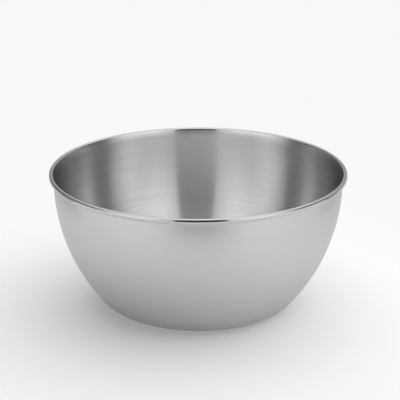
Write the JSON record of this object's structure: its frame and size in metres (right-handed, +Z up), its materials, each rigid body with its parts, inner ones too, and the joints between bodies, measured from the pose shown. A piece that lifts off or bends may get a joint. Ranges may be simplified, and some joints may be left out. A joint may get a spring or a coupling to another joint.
{
  "type": "salad bowl",
  "caption": "Deep round stainless steel salad bowl with a curved wall, a flat base and a rolled, wired rim.",
  "frame": {"origin": "middle of the base, level with the surface that the bowl stands on", "axes": "+Z up along the bowl's axis of revolution, out of its mouth; +X and +Y lie in the plane of the base, and the bowl looks the same from every side"},
  "size_m": [0.28, 0.28, 0.13],
  "materials": {
    "bowl_steel": "stainless steel, satin with fine brush lines round the axis inside and out, and a polished rolled edge",
    "wire_steel": "bright drawn steel wire, as it comes from the coil"
  },
  "bodies": {
    "root": {"bowl_shell": "bowl_steel", "rim_wire": "wire_steel"}
  },
  "joints": []
}
